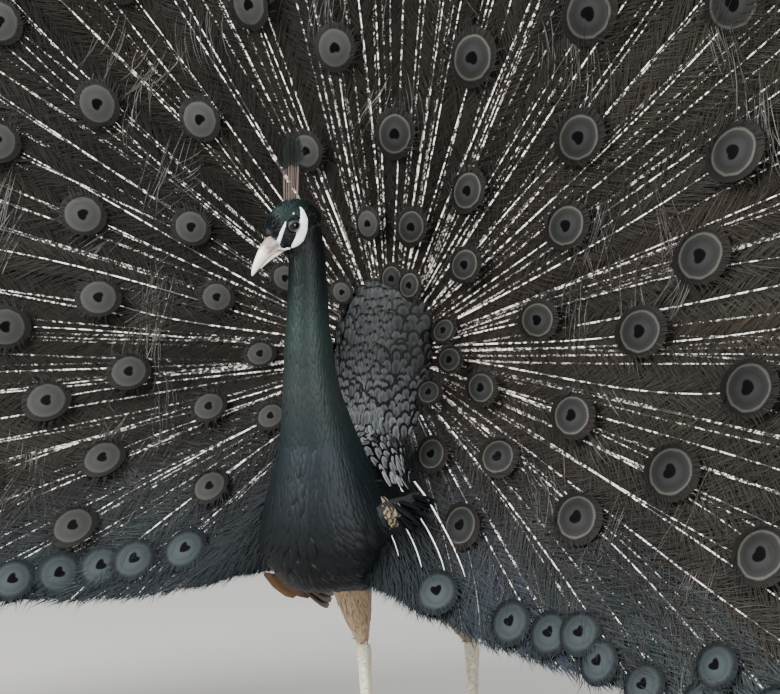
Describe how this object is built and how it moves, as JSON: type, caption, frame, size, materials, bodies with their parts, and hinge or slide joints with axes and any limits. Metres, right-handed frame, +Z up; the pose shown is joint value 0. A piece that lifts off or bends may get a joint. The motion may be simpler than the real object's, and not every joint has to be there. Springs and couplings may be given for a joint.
{
  "type": "displaying peacock",
  "caption": "Life-size Indian peacock standing on its own feet, head turned to its right, with the long train raised behind it in a wide fan of eye-spotted feathers.",
  "frame": {"origin": "middle of the whole bird's box, on the floor that the feet stand on", "axes": "+X is the bird's left and the width of the fan, -Y the way the body faces, +Z up"},
  "size_m": [2.071, 0.4756, 1.6333],
  "materials": {
    "neck_plumage": "silky, slightly iridescent",
    "head_and_breast_plumage": "silky, slightly iridescent",
    "back_plumage": "matte feather",
    "saddle_scales": "satin, scaled feather",
    "train_feathers": "matte feather with satin eye-spots",
    "tail_feathers": "matte feather",
    "wing_coverts": "matte barred feather",
    "flight_feathers": "matte feather",
    "thigh_down": "matte down",
    "bare_leg": "scaly skin, satin",
    "bill_horn": "satin horn",
    "claw_horn": "satin horn",
    "crest_feathers": "bare shafts with small matte vanes",
    "eye": "wet gloss"
  },
  "bodies": {
    "root": {"neck_upper": "neck_plumage", "neck_lower": "neck_plumage", "head": "head_and_breast_plumage", "breast": "head_and_breast_plumage", "trunk": "back_plumage", "rump": "back_plumage", "saddle": "saddle_scales", "train_left_1": "train_feathers", "train_left_2": "train_feathers", "train_left_3": "train_feathers", "train_left_4": "train_feathers", "train_left_5": "train_feathers", "train_right_1": "train_feathers", "train_right_2": "train_feathers", "train_right_3": "train_feathers", "train_right_4": "train_feathers", "train_right_5": "train_feathers", "tail_left": "tail_feathers", "tail_right": "tail_feathers", "wing_left": "wing_coverts", "wing_right": "wing_coverts", "primaries_left": "flight_feathers", "primaries_right": "flight_feathers", "thigh_left": "thigh_down", "thigh_right": "thigh_down", "shank_left": "bare_leg", "shank_right": "bare_leg", "foot_left": "bare_leg", "foot_right": "bare_leg", "upper_bill": "bill_horn", "lower_bill": "bill_horn", "spur_left": "claw_horn", "spur_right": "claw_horn", "claw_left_inner": "claw_horn", "claw_left_middle": "claw_horn", "claw_left_outer": "claw_horn", "claw_left_hind": "claw_horn", "claw_right_inner": "claw_horn", "claw_right_middle": "claw_horn", "claw_right_outer": "claw_horn", "claw_right_hind": "claw_horn", "crest": "crest_feathers", "eye_left": "eye", "eye_right": "eye"}
  },
  "joints": []
}
